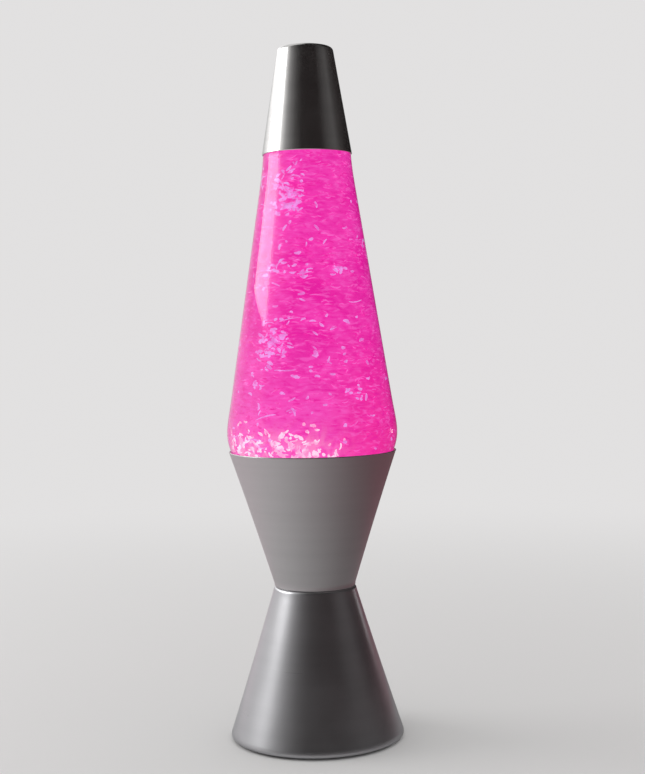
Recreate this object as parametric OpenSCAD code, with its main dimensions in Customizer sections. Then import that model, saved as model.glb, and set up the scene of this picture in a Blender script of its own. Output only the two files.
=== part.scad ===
// Glitter lamp: tapered glass globe in an hourglass base of two spun metal cones, with a lift-off cap.
// Millimetres. The origin is at the centre of the footprint, on the surface that the feet rest on, and
// +Z is up. The rear of the lamp, where the cord goes in, is +Y.

/* [Lamp] */
// Overall height
lamp_h = 368; // [366:0.5:370]

/* [Base] */
// Radius of the foot of the skirt
skirt_foot_r = 46.4; // [46.2:0.1:47]
// Height of the seam at the waist
waist_z = 81.7; // [81.5:0.1:81.9]
// Radius of the cup at the waist
cup_waist_r = 21.8; // [21.8:0.1:22.1]
// Radius of the cup's rim
cup_rim_r = 44.8; // [44.6:0.1:45]
// Height of the cup's rim
cup_rim_z = 154.4; // [154:0.1:154.8]
// Thickness of the spun metal
metal_t = 0.9; // [0.7:0.1:0.9]
// How far the rubber feet stand below the bottom plate
foot_drop = 0.8; // [0.5:0.1:1]

/* [Globe] */
// Widest radius of the glass
glass_r = 45.5; // [45.1:0.1:45.8]
// Radius of the glass just under the cap's edge
glass_top_r = 23.4; // [23.2:0.1:23.6]
// Thickness of the glass
glass_t = 2.4; // [2:0.1:2.8]
// Height of the underside of the globe
globe_z = 117.5; // [117:0.5:118]
// Level of the liquid
liquid_z = 322; // [300:1:324]
// Number of foil flakes
flake_count = 90; // [40:10:120]

/* [Cap] */
// Radius of the cap's lower edge
cap_low_r = 23.9; // [23.7:0.1:24.1]
// Radius of the cap's top before its edge is rounded
cap_top_r = 14.8; // [14.6:0.1:15.2]
// Height of the cap
cap_h = 56.3; // [56:0.1:56.6]
// Radius of the cap's rounded top edge
cap_edge_r = 2.2; // [1.6:0.2:3]

/* [Bulb and socket] */
// Radius of the bulb's envelope
bulb_r = 17.4; // [17:0.1:17.5]
// Height of the top of the bulb
bulb_top_z = 104; // [103:0.5:104.5]
// Outer radius of the socket body
socket_r = 13.5; // [13:0.5:14]
// Height of the bridge that carries the socket
bridge_z = 30; // [29.5:0.5:30]

/* [Hidden] */
$fn = 96;
arc_steps = 10;
gap = 0.3;
spin_rate = 137.508;

// Cap
cap_z = lamp_h - cap_h;
cap_t = 0.8;
cap_slope = (cap_low_r - cap_top_r) / cap_h;

// Cup and skirt: both are cones with a very slight hollow
cup_sag = 0.25;
cup_start_z = waist_z + 1.6;
skirt_sag = 0.25;
skirt_hem_z = 1.2;
skirt_low_z = 3;
skirt_high_z = waist_z - 2;
skirt_high_r = 22.3;
skirt_shoulder_r = 20.3;
hem_in_r = 44.2;
flange_z = 2.8;
flange_in_r = 37;

// Waist joint: the cup's collar passes through the skirt and the bracket's ring, and is curled under it
collar_in_r = 18.1;
collar_out_r = collar_in_r + metal_t;
ring_t = 1;
ring_z = waist_z - metal_t - ring_t;
curl_out_r = 19.8;
curl_z = ring_z - metal_t;

// Globe
seat_gap = 0.4;
globe_corner_z = 3;
glass_bend = [glass_top_r + 1.6, 297];
shoulder_high = [glass_r - 2.6, 182.7];
shoulder_pull_low = [glass_r + 1.8, 163.5];
shoulder_pull_high_z = 170;
glass_lip_z = cap_z - 0.9;
ledge_r = 22.4;
neck_start = [16.5, 325];
neck_r = 12.6;
neck_z = 334;
finish_r = 13.3;
finish_z = 345.5;
collar_low_z = 340;
collar_high_z = 343;
mouth_r = 8.5;
mouth_z = 352;
floor_t = 3.5;
floor_z = globe_z + floor_t;
floor_rise = 0.6;
floor_flat_r = 25;
film = 0.05;

// Crown cap
crown_t = 0.4;
liner_t = 0.7;
crown_r = 13.6;
crown_skirt_z = 346.6;
crown_flutes = 21;

// Bracket
leg_x = 19.9;
leg_t = 0.9;
leg_w = 8;
bridge_t = 1.2;
bracket_out_r = 20.3;

// Socket and bulb
socket_z = bridge_z + bridge_t;
socket_h = 26;
socket_floor_z = socket_z + 6;
socket_well_r = 9.9;
shell_low_z = 43;
shell_high_z = socket_z + socket_h;
bulb_base_r = 8.3;
thread_pitch = 2.8;
thread_depth = 0.6;
tip_z = 42;
bulb_shell_z = 45;
bulb_neck_z = 61;
wire_r = 0.3;
filament_z = 84;
filament_r = 6;

// Nipple that holds the socket
nipple_r = 4.8;
nipple_bore_r = 3.4;
nut_h = 3;
washer_t = 0.8;

// Cord bush in the rear of the skirt
bush_z = 14;
bush_bore_r = 3.3;
bush_neck_r = 4.6;
bush_flange_r = 6;

// Bottom plate, its screws and the feet
plate_r = 43.9;
plate_t = flange_z - foot_drop;
screw_ring_r = 40.5;
screw_count = 3;
screw_r = 1.45;
foot_ring_r = 36;
foot_count = 4;
foot_r = 5.5;
foot_pocket = 1.1;
vent_ring_r = 17;
vent_count = 10;

// Point on a quadratic curve through a and c that leans towards b
function curve_point(a, b, c, t) = (1 - t) * (1 - t) * a + 2 * t * (1 - t) * b + t * t * c;

// Curve from a to c with the given number of steps
function curve(a, b, c, steps) = [for (i = [0 : steps]) curve_point(a, b, c, i / steps)];

// Curve from a to d that leaves a towards b and arrives at d from c
function long_curve(a, b, c, d, steps) =
  [for (i = [0 : steps])
    let (t = i / steps)
    (1 - t) * curve_point(a, b, c, t) + t * curve_point(b, c, d, t)];

// Arc round a centre, from one angle to another
function arc(centre, r, from, to, steps) =
  [for (i = [0 : steps]) centre + r * [cos(from + (to - from) * i / steps), sin(from + (to - from) * i / steps)]];

// Same outline, moved towards the axis
function inset(points, t) = [for (p = points) [max(p[0] - t, 0), p[1]]];

function backwards(points) = [for (i = [len(points) - 1 : -1 : 0]) points[i]];

// Outer radius of a cone that is hollowed by sag halfway
function hollow_cone(r_low, r_high, z_low, z_high, sag, z) =
  let (t = (z - z_low) / (z_high - z_low))
  r_low + (r_high - r_low) * t - 4 * sag * t * (1 - t);

function cup_r(z) = hollow_cone(cup_waist_r, cup_rim_r, cup_start_z, cup_rim_z, cup_sag, z);
function skirt_r(z) = hollow_cone(skirt_foot_r, skirt_high_r, skirt_low_z, skirt_high_z, skirt_sag, z);

// Outlines, each a list of [radius, height]
cup_wall = [for (i = [0 : arc_steps])
  let (z = cup_start_z + (cup_rim_z - cup_start_z) * i / arc_steps) [cup_r(z), z]];
skirt_wall = [for (i = [0 : arc_steps])
  let (z = skirt_low_z + (skirt_high_z - skirt_low_z) * i / arc_steps) [skirt_r(z), z]];

// Lower taper of the globe follows the inside of the cup, a seat gap away
globe_taper = [for (i = [0 : 6])
  let (z = globe_z + globe_corner_z + (cup_rim_z - globe_z - globe_corner_z) * i / 6)
  [cup_r(z) - metal_t - seat_gap, z]];
glass_slope = (shoulder_high[0] - glass_bend[0]) / (glass_bend[1] - shoulder_high[1]);
shoulder_pull_high =
  [shoulder_high[0] + glass_slope * (shoulder_high[1] - shoulder_pull_high_z), shoulder_pull_high_z];
globe_side = concat(
  globe_taper,
  long_curve(globe_taper[6], shoulder_pull_low, shoulder_pull_high, shoulder_high, 18),
  curve(glass_bend, [glass_bend[0] - glass_slope * 7, glass_bend[1] + 7], [glass_top_r, glass_lip_z], 6),
  [[glass_top_r - 0.4, cap_z - gap - 0.1], [ledge_r, cap_z - gap]],
  curve([ledge_r, cap_z + 1], [20.6, 320.5], neck_start, 10),
  curve(neck_start, [neck_r, 328.5], [neck_r, neck_z], 8)
);
globe_foot = globe_taper[0];

// The bore runs straight past the ledge on which the cap's edge stands
bore_side = [for (p = globe_side) if (p[1] < glass_lip_z - 0.1 || p[1] > cap_z + 2) p];
globe_bore = inset(bore_side, glass_t);
bore_foot = [globe_bore[0][0] - 0.4, floor_z + 1.6];
liquid_side = [for (p = globe_bore) if (p[1] > bore_foot[1] && p[1] < liquid_z - 0.3) [p[0] - film, p[1]]];
liquid_top_r = lookup(liquid_z, [for (p = globe_bore) [p[1], p[0]]]) - film;

// Ring of grooves that stands for a thread: outline of a sleeve from z_low to z_high
function thread_side(r, depth, pitch, z_low, z_high) =
  let (turns = floor((z_high - z_low) / pitch))
  [for (i = [0 : turns - 1], s = [0, 0.25, 0.5, 0.75])
    [r - depth * (0.5 - 0.5 * cos(360 * s)), z_low + (i + s) * pitch]];

module revolve(points) {
  rotate_extrude() polygon(points);
}

module ring(r_out, r_in, z_low, z_high) {
  translate([0, 0, z_low])
    difference() {
      cylinder(r = r_out, h = z_high - z_low);
      translate([0, 0, -1]) cylinder(r = r_in, h = z_high - z_low + 2);
    }
}

module around(count, r, start = 0) {
  for (i = [0 : count - 1])
    rotate([0, 0, start + i * 360 / count]) translate([r, 0, 0]) children();
}

// ---------- Cap ----------

module cap() {
  top_centre = [cap_top_r - cap_edge_r + 0.2, lamp_h - cap_edge_r];
  inner_edge_r = cap_edge_r - cap_t;
  outside = concat(
    [[cap_low_r, cap_z + 0.3]],
    arc(top_centre, cap_edge_r, atan(cap_slope), 90, arc_steps),
    [[0, lamp_h]]
  );
  inside = concat(
    [[0, lamp_h - cap_t]],
    arc(top_centre, inner_edge_r, 90, atan(cap_slope), arc_steps),
    [[cap_low_r - cap_t, cap_z]]
  );
  color("silver")
    revolve(concat(outside, inside, [[cap_low_r - 0.3, cap_z]]));
}

// ---------- Globe ----------

module glass_bottle() {
  outside = concat(
    [[0, globe_z + 1.5], [18, globe_z + 1], [22, globe_z]],
    [[globe_foot[0] - globe_corner_z, globe_z]],
    curve([globe_foot[0] - globe_corner_z, globe_z], [globe_foot[0] - 0.9, globe_z], globe_foot, 6),
    globe_side,
    [[neck_r, collar_low_z], [finish_r - 0.2, collar_low_z + 0.6]],
    [[finish_r - 0.2, collar_high_z], [neck_r - 0.3, collar_high_z + 1]],
    [[neck_r - 0.3, finish_z], [finish_r, finish_z + 1], [finish_r, mouth_z - 2]],
    arc([finish_r - 2, mouth_z - 2], 2, 0, 90, 5)
  );
  inside = concat(
    [[mouth_r + 0.6, mouth_z], [mouth_r, mouth_z - 0.8], [mouth_r, collar_high_z]],
    backwards([for (p = globe_bore) if (p[1] > bore_foot[1]) p]),
    curve([globe_bore[0][0] + 0.3, bore_foot[1]], [bore_foot[0], floor_z], [floor_flat_r, floor_z], 4),
    [[0, floor_z + floor_rise]]
  );
  color("lavenderblush", 0.4) revolve(concat(outside, inside));
}

module pink_liquid() {
  low_z = floor_z + film;
  outline = concat(
    [[0, low_z + floor_rise]],
    curve([floor_flat_r, low_z], [bore_foot[0] - 0.2, low_z], [globe_bore[0][0] - 0.1, bore_foot[1] + film], 4),
    liquid_side,
    [[liquid_top_r, liquid_z], [0, liquid_z]]
  );
  color("deeppink", 0.7) revolve(outline);
}

// Thin six-sided flakes, spread evenly by a golden-angle spiral
module glitter_flakes() {
  flake_r = 1.9;
  flake_t = 0.25;
  low_z = floor_z + 6;
  high_z = liquid_z - 22;
  color("plum")
    for (i = [0 : flake_count - 1]) {
      z = low_z + (high_z - low_z) * (i + 0.5) / flake_count;
      room = lookup(z, [for (p = globe_side) [p[1], p[0]]]) - glass_t - 3.2;
      reach = room * sqrt((i * 7 % flake_count + 0.5) / flake_count);
      rotate([0, 0, i * spin_rate])
        translate([reach, 0, z])
          rotate([(i * 61) % 180, (i * 37) % 90, 0])
            cylinder(r = flake_r, h = flake_t, center = true, $fn = 6);
    }
}

module crown_cap() {
  top_z = mouth_z + liner_t;
  color("lightgray")
    union() {
      revolve([
        [0, top_z], [crown_r - 1, top_z], [crown_r - 0.2, top_z - 0.9], [crown_r + 0.3, crown_skirt_z],
        [crown_r + 0.3 + crown_t, crown_skirt_z], [crown_r + 0.2, top_z - 0.7],
        [crown_r - 0.7, top_z + crown_t], [0, top_z + crown_t]
      ]);
      around(crown_flutes, crown_r + 0.5)
        translate([0, 0, crown_skirt_z]) cylinder(r1 = 0.8, r2 = 0.25, h = 4.6, $fn = 24);
    }
}

module crown_liner() {
  color("whitesmoke")
    translate([0, 0, mouth_z]) cylinder(r = crown_r - 1.2, h = liner_t);
}

// ---------- Bulb ----------

module bulb_glass() {
  centre_z = bulb_top_z - bulb_r;
  wall = 0.7;
  shoulder = [11.6, 74];
  side = concat(
    curve([7.2, bulb_neck_z - 2], [7.4, shoulder[1] - 4], shoulder, 8),
    curve(shoulder, [bulb_r, shoulder[1] + 5.6], [bulb_r, centre_z], 10)
  );
  dome = arc([0, centre_z], bulb_r, 0, 90, 16);
  inner_dome = arc([0, centre_z], bulb_r - wall, 90, 0, 16);
  color("white", 0.4)
    revolve(concat(side, dome, inner_dome, backwards(inset(side, wall))));
}

module bulb_base_shell() {
  outside = thread_side(bulb_base_r, thread_depth, thread_pitch, bulb_shell_z + 1, bulb_neck_z - 3);
  top_r = bulb_base_r - 0.1;
  color("gold")
    revolve(concat(
      [[5.2, bulb_shell_z], [bulb_base_r - 0.9, bulb_shell_z]],
      outside,
      [[top_r, bulb_neck_z - 2.5], [top_r, bulb_neck_z], [top_r - 0.4, bulb_neck_z], [7.3, bulb_neck_z - 2]],
      [[7.3, bulb_shell_z + 0.6], [5.2, bulb_shell_z + 0.4]]
    ));
}

module bulb_insulator() {
  color("dimgray")
    revolve([
      [2.6, tip_z + 1], [6.6, bulb_shell_z - 0.4], [6.6, bulb_shell_z], [5.2, bulb_shell_z],
      [5.2, bulb_shell_z + 1.6], [1.2, bulb_shell_z + 1.6], [1.2, tip_z + 1.4], [2.2, tip_z + 1.4]
    ]);
}

module bulb_tip_contact() {
  color("lightsteelblue")
    revolve(concat(
      arc([0, tip_z + 2.6], 2.6, -90, -38, 5),
      [[2.2, tip_z + 1.4], [1.2, tip_z + 1.4], [0, tip_z + 1.4]]
    ));
}

module bulb_stem() {
  color("azure", 0.6)
    revolve([
      [6, bulb_neck_z - 2], [6.5, bulb_neck_z - 1.6], [3.4, bulb_neck_z + 5], [2.2, bulb_neck_z + 11],
      [1.6, bulb_neck_z + 15], [0, bulb_neck_z + 15.6], [0, bulb_neck_z + 6], [2, bulb_neck_z + 2]
    ]);
}

module bulb_filament() {
  color("darkgray")
    translate([0, 0, filament_z])
      rotate([0, 0, -20])
        rotate_extrude(angle = 220) translate([filament_r, 0]) circle(r = 0.35, $fn = 32);
}

module bulb_support_wires() {
  stem_z = bulb_neck_z + 8;
  ends = [-20, 53, 127, 200];
  color("gray")
    for (a = ends) {
      high = [filament_r * cos(a), filament_r * sin(a), filament_z];
      low = [1.2 * cos(a), 1.2 * sin(a), stem_z];
      run = high - low;
      length = norm(run);
      translate(low)
        rotate([0, acos(run[2] / length), atan2(run[1], run[0])])
          cylinder(r = wire_r, h = length, $fn = 16);
    }
}

// ---------- Base ----------

module base_cup() {
  lip_r = metal_t / 2;
  lip = arc([cup_rim_r - lip_r, cup_rim_z - lip_r], lip_r, 0, 180, 6);
  outside = concat(
    arc([cup_waist_r - 0.8, waist_z + 0.8], 0.8, -90, 0, 5),
    [for (p = cup_wall) if (p[1] < cup_rim_z - lip_r) p]
  );
  inside = [for (p = cup_wall) if (p[1] < cup_rim_z - 1) [p[0] - metal_t, p[1]]];
  color("silver")
    revolve(concat(
      outside,
      lip,
      backwards(inside),
      [[cup_waist_r - metal_t - 0.2, waist_z + metal_t], [collar_in_r + 0.4, waist_z + metal_t]],
      [[collar_in_r, waist_z + 0.5], [collar_in_r, curl_z + 0.4], [collar_in_r + 0.4, curl_z]],
      [[curl_out_r, curl_z], [curl_out_r, ring_z], [collar_out_r, ring_z], [collar_out_r, waist_z]]
    ));
}

module base_skirt() {
  shoulder = arc([skirt_shoulder_r, waist_z - 2], 2, 90, 12, 6);
  inner_shoulder = arc([skirt_shoulder_r, waist_z - 2], 2 - metal_t, 12, 90, 6);
  outside = concat(
    [[collar_out_r + 0.1, waist_z]],
    shoulder,
    backwards([for (p = skirt_wall) if (p[1] < skirt_high_z - 1) p]),
    arc([skirt_foot_r - 1, skirt_hem_z + 1], 1, 0, -90, 5)
  );
  inside = concat(
    [[hem_in_r, skirt_hem_z], [hem_in_r, flange_z], [flange_in_r, flange_z]],
    [[flange_in_r, flange_z + metal_t], [skirt_r(flange_z + metal_t + 0.8) - metal_t - 0.6, flange_z + metal_t]],
    [for (p = skirt_wall) if (p[1] > 6 && p[1] < skirt_high_z - 1) [p[0] - metal_t, p[1]]],
    inner_shoulder,
    [[collar_out_r + 0.1, waist_z - metal_t]]
  );
  color("darkgray")
    difference() {
      revolve(concat(outside, inside));
      bush_place() translate([0, 0, -8]) cylinder(r = bush_neck_r + 0.1, h = 14);
      around(screw_count, screw_ring_r, 30)
        translate([0, 0, flange_z - 1]) cylinder(r = screw_r + 0.1, h = 4, $fn = 32);
    }
}

module socket_bracket() {
  leg_low_z = bridge_z + 0.6;
  leg_high_z = ring_z + 0.2;
  color("lightgray")
    difference() {
      union() {
        ring(bracket_out_r, collar_out_r + 0.15, ring_z, ring_z + ring_t);
        for (side = [-1, 1])
          translate([side * (leg_x + leg_t / 2), 0, (leg_low_z + leg_high_z) / 2])
            cube([leg_t, leg_w, leg_high_z - leg_low_z], center = true);
        translate([-leg_x - leg_t, -leg_w / 2, bridge_z]) cube([2 * (leg_x + leg_t), leg_w, bridge_t]);
        translate([0, 0, bridge_z]) cylinder(r = 10, h = bridge_t);
      }
      translate([0, 0, bridge_z - 1]) cylinder(r = nipple_r + 0.2, h = bridge_t + 2);
    }
}

module socket_body() {
  top_z = socket_z + socket_h;
  color("ivory")
    difference() {
      revolve([
        [nipple_r + 0.05, socket_z], [socket_r - 3, socket_z], [socket_r - 2, socket_z + 1],
        [socket_r - 2, socket_z + 8], [socket_r, socket_z + 9.5], [socket_r, top_z - 1],
        [socket_r - 1, top_z], [socket_well_r + 0.4, top_z], [socket_well_r, top_z - 0.4],
        [socket_well_r, socket_floor_z], [nipple_r + 0.05, socket_floor_z]
      ]);
      for (side = [-1, 1])
        translate([0, side * (socket_r - 2.6), socket_z + 4.5])
          rotate([-90 * side, 0, 0]) cylinder(r = 1.5, h = 4, $fn = 24);
    }
}

module socket_shell() {
  r = socket_well_r - 0.1;
  turns_low = shell_low_z + 0.5;
  outside = thread_side(r, 0.5, thread_pitch, turns_low, shell_high_z - 1);
  color("goldenrod")
    revolve(concat(
      [[r - 0.4, shell_low_z], [r - 0.1, shell_low_z]],
      outside,
      [[r - 0.1, shell_high_z - 1], [r - 0.4, shell_high_z - 1]],
      backwards([for (p = outside) [p[0] - 0.4, p[1]]])
    ));
}

module socket_contact() {
  color("goldenrod")
    union() {
      translate([-2.2, -8.6, socket_floor_z]) cube([4.4, 5, 0.5]);
      translate([-2.2, -4.2, socket_floor_z]) cube([4.4, 0.5, tip_z - 1.2 - socket_floor_z]);
      translate([-2.2, -4.2, tip_z - 1.2]) cube([4.4, 6.8, 0.5]);
      translate([0, 0, tip_z - 0.75]) cylinder(r = 1.4, h = 0.4, $fn = 32);
    }
}

module terminal_screws() {
  color("gold")
    for (side = [-1, 1])
      translate([0, side * (socket_r - 2), socket_z + 4.5])
        rotate([-90 * side, 0, 0])
          difference() {
            union() {
              translate([0, 0, -0.5]) cylinder(r = 1.35, h = 1.2, $fn = 24);
              translate([0, 0, 0.1]) cylinder(r = 3, h = 0.5, $fn = 48);
              translate([0, 0, 0.6]) cylinder(r = 2.6, h = 1.3, $fn = 48);
            }
            translate([0, 0, 1.6]) cube([6, 0.7, 1], center = true);
          }
}

module mounting_nipple() {
  low_z = bridge_z - 8;
  high_z = socket_floor_z - 0.8;
  outside = thread_side(nipple_r, 0.35, 1, low_z + 0.5, high_z - 0.5);
  color("lightsteelblue")
    revolve(concat(
      [[nipple_bore_r, low_z], [nipple_r - 0.4, low_z]],
      outside,
      [[nipple_r - 0.4, high_z], [nipple_bore_r, high_z]]
    ));
}

module nipple_nut() {
  top_z = bridge_z - washer_t;
  color("silver")
    translate([0, 0, top_z - nut_h])
      difference() {
        cylinder(r = 8, h = nut_h, $fn = 6);
        translate([0, 0, -1]) cylinder(r = nipple_r + 0.05, h = nut_h + 2);
      }
}

module lock_washer() {
  color("gray")
    difference() {
      union() {
        ring(6.8, nipple_r + 0.2, bridge_z - washer_t, bridge_z);
        around(12, 7) translate([-0.5, -0.6, bridge_z - washer_t]) cube([1.4, 1.2, washer_t]);
      }
      translate([0, 0, bridge_z - 2]) cylinder(r = nipple_r + 0.2, h = 4);
    }
}

// Puts its children on the rear wall of the skirt, with +Z along the wall's outward normal
module bush_place() {
  tilt = atan((skirt_r(bush_z - 5) - skirt_r(bush_z + 5)) / 10);
  translate([0, skirt_r(bush_z), bush_z]) rotate([tilt - 90, 0, 0]) children();
}

module cord_grommet() {
  color("black")
    bush_place()
      difference() {
        union() {
          translate([0, 0, 0.05]) cylinder(r1 = bush_flange_r, r2 = bush_flange_r - 0.8, h = 1.2);
          translate([0, 0, -3]) cylinder(r = bush_neck_r, h = 4);
          translate([0, 0, -3]) cylinder(r = bush_flange_r - 0.4, h = 1.4);
        }
        translate([0, 0, -4]) cylinder(r = bush_bore_r, h = 8);
      }
}

module bottom_plate() {
  color("dimgray")
    difference() {
      union() {
        translate([0, 0, foot_drop]) cylinder(r = plate_r, h = plate_t);
        ring(flange_in_r - 0.4, flange_in_r - 2, flange_z - 0.5, flange_z + 3);
      }
      around(screw_count, screw_ring_r, 30) {
        translate([0, 0, foot_drop - 1]) cylinder(r = 1.7, h = plate_t + 2, $fn = 32);
        translate([0, 0, foot_drop - 1]) cylinder(r = 3.1, h = 2, $fn = 48);
      }
      around(foot_count, foot_ring_r, 45)
        translate([0, 0, foot_drop - 1]) cylinder(r = foot_r + 0.1, h = foot_pocket + 1);
      around(vent_count, vent_ring_r)
        translate([-6, -1.25, foot_drop - 1]) cube([12, 2.5, plate_t + 2]);
    }
}

module bottom_plate_screws() {
  head_z = foot_drop + 0.1;
  color("silver")
    around(screw_count, screw_ring_r, 30)
      difference() {
        union() {
          translate([0, 0, head_z]) cylinder(r1 = 2.2, r2 = 2.7, h = 0.9, $fn = 48);
          translate([0, 0, head_z + 0.5]) cylinder(r = screw_r, h = 5.5, $fn = 32);
          translate([0, 0, head_z + 6]) cylinder(r1 = screw_r, r2 = 0.3, h = 1.6, $fn = 32);
        }
        for (turn = [0, 90])
          rotate([0, 0, turn]) translate([-1.6, -0.3, head_z - 0.1]) cube([3.2, 0.6, 0.8]);
      }
}

module rubber_feet() {
  color("black")
    around(foot_count, foot_ring_r, 45)
      revolve([
        [0, 0], [foot_r - 0.6, 0], [foot_r, 0.5], [foot_r, foot_drop + foot_pocket], [0, foot_drop + foot_pocket]
      ]);
}

cap();
glass_bottle();
pink_liquid();
glitter_flakes();
crown_cap();
crown_liner();
bulb_glass();
bulb_base_shell();
bulb_insulator();
bulb_tip_contact();
bulb_stem();
bulb_filament();
bulb_support_wires();
base_cup();
base_skirt();
socket_bracket();
socket_body();
socket_shell();
socket_contact();
terminal_screws();
mounting_nipple();
nipple_nut();
lock_washer();
cord_grommet();
bottom_plate();
bottom_plate_screws();
rubber_feet();
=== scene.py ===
import math
import random

import bpy
from mathutils import Matrix, Vector


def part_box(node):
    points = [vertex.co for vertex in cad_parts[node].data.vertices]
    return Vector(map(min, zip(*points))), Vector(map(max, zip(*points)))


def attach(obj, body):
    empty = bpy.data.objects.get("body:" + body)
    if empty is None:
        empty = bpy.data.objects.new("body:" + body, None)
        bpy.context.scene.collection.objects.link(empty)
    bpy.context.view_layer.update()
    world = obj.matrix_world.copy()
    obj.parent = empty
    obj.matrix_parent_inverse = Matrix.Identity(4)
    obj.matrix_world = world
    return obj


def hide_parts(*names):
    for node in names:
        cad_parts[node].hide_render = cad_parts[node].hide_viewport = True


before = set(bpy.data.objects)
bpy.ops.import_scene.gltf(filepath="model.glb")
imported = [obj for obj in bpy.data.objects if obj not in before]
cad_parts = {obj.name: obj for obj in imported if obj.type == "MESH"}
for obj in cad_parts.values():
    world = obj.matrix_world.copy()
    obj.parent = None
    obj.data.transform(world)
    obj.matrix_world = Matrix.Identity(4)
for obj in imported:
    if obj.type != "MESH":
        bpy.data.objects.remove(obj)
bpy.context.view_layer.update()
MM = 0.001

# ---------- Dimensions that the looks share with the CAD model, in millimetres ----------

METAL_T = 0.9
SEAT_GAP = 0.4
CAP_T = 0.8
CAP_EDGE_R = 2.2
CAP_TOP_R = 14.8
CAP_LOW_R = 23.9
CAP_HEM = 0.3
CUP_WAIST_R = 21.8
CUP_RIM_R = 44.8
CUP_SAG = 0.25
CUP_FOLD_R = 0.8
SKIRT_FOOT_R = 46.4
SKIRT_HIGH_R = 22.3
SKIRT_SAG = 0.25
SKIRT_LOW_Z = 3.0
SKIRT_EDGE_R = 2.0
COLLAR_IN_R = 18.1
COLLAR_EDGE = 0.4
CURL_OUT_R = 19.8
RING_T = 1.0
HEM_IN_R = 44.2
HEM_EDGE_R = 1.0
FLANGE_Z = 2.8
FLANGE_IN_R = 37.0
FLANGE_BEND_R = 0.6
FLANGE_BEND_Z = 4.5
SKIRT_INSIDE_LOW_Z = 6.0
GLASS_T = 2.4
FLOOR_T = 3.5
FLOOR_RISE = 0.6
FLOOR_FLAT_R = 25.0
FLOOR_EDGE = 1.6
GLASS_R = 45.5
GLASS_TOP_R = 23.4
GLOBE_CORNER = 3.0
GLASS_BEND = (25.0, 297.0)
SHOULDER_HIGH = (42.9, 182.7)
SHOULDER_PULL_LOW = (GLASS_R + 1.8, 163.5)
SHOULDER_PULL_HIGH_Z = 170
LEDGE_R = 22.4
NECK_START = (16.5, 325.0)
NECK_START_PULL = (20.6, 320.5)
NECK = (12.6, 334.0)
NECK_PULL_Z = 328.5
FINISH_R = 13.3
FINISH_Z = 345.5
FINISH_EDGE_R = 2.0
TRANSFER_LOW_Z = 340.0
TRANSFER_HIGH_Z = 343.0
MOUTH_R = 8.5
LIQUID_Z = 322.0
BULB_R = 17.4
BULB_FOOT_R = 7.2
BULB_THROAT_PULL_Z = 70.0
BULB_THROAT = (11.6, 74.0)
BULB_SHOULDER_Z = 79.6
BULB_T = 0.7


def top_of(node):
    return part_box(node)[1].z / MM


def foot_of(node):
    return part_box(node)[0].z / MM


LAMP_H = top_of("cap")
CAP_Z = foot_of("cap")
GLOBE_Z = foot_of("glass_bottle")
MOUTH_Z = top_of("glass_bottle")
CUP_RIM_Z = top_of("base_cup")
WAIST_Z = top_of("base_skirt")
HEM_Z = foot_of("base_skirt")
BULB_TOP_Z = top_of("bulb_glass")
BULB_FOOT_Z = foot_of("bulb_glass")
CUP_START_Z = WAIST_Z + 1.6
SKIRT_HIGH_Z = WAIST_Z - SKIRT_EDGE_R
GLASS_FLOOR_Z = GLOBE_Z + FLOOR_T

# ---------- Outlines: lists of (radius, height) in millimetres ----------


def mix(a, b, t):
    return a + (b - a) * t


def blend_points(a, b, t):
    return tuple(mix(p, q, t) for p, q in zip(a, b))


def line(a, b, steps):
    return [blend_points(a, b, i / steps) for i in range(steps + 1)]


def curve_point(a, b, c, t):
    return blend_points(blend_points(a, b, t), blend_points(b, c, t), t)


def curve(a, b, c, steps):
    """Curve from a to c that leans towards b."""
    return [curve_point(a, b, c, i / steps) for i in range(steps + 1)]


def long_curve(a, b, c, d, steps):
    """Curve from a to d that leaves a towards b and arrives at d from c."""
    shares = [i / steps for i in range(steps + 1)]
    return [blend_points(curve_point(a, b, c, t), curve_point(b, c, d, t), t) for t in shares]


def arc(centre, r, start, end, steps):
    out = []
    for i in range(steps + 1):
        a = math.radians(mix(start, end, i / steps))
        out.append((centre[0] + r * math.cos(a), centre[1] + r * math.sin(a)))
    return out


def hollow_cone(low, high, sag, z):
    """Radius at z of a cone from low to high that is hollowed by sag halfway."""
    t = (z - low[1]) / (high[1] - low[1])
    return mix(low[0], high[0], t) - 4 * sag * t * (1 - t)


def cup_r(z):
    return hollow_cone((CUP_WAIST_R, CUP_START_Z), (CUP_RIM_R, CUP_RIM_Z), CUP_SAG, z)


def skirt_r(z):
    return hollow_cone((SKIRT_FOOT_R, SKIRT_LOW_Z), (SKIRT_HIGH_R, SKIRT_HIGH_Z), SKIRT_SAG, z)


def heights(low, high, steps):
    return [mix(low, high, i / steps) for i in range(steps + 1)]


def inset(points, t):
    return [(max(r - t, 0.0), z) for r, z in points]


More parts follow.
